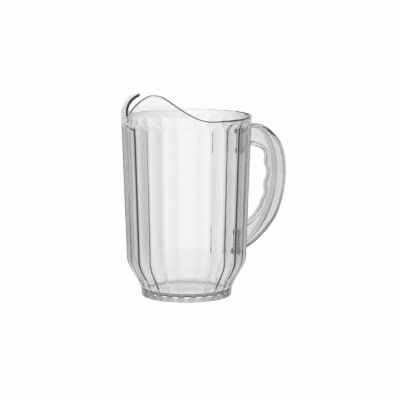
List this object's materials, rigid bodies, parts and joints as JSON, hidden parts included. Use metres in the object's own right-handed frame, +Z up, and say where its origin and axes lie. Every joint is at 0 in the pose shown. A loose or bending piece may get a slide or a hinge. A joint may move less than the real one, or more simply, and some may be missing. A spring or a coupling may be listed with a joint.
{
  "type": "pitcher",
  "caption": "Clear moulded pitcher with a fluted tapering body, a narrow foot, hooded ears that hold back ice beside the pouring notch, and an I-section loop handle.",
  "frame": {"origin": "centre of the bounding box on the surface that the foot stands on", "axes": "+Z up, +X from the spout towards the handle, +Y across the pitcher, its plane of symmetry at y = 0"},
  "size_m": [0.2022, 0.1332, 0.2091],
  "materials": {
    "vessel": "clear polished plastic",
    "handle": "clear polished plastic"
  },
  "bodies": {
    "root": {"vessel": "vessel", "handle": "handle"}
  },
  "joints": []
}
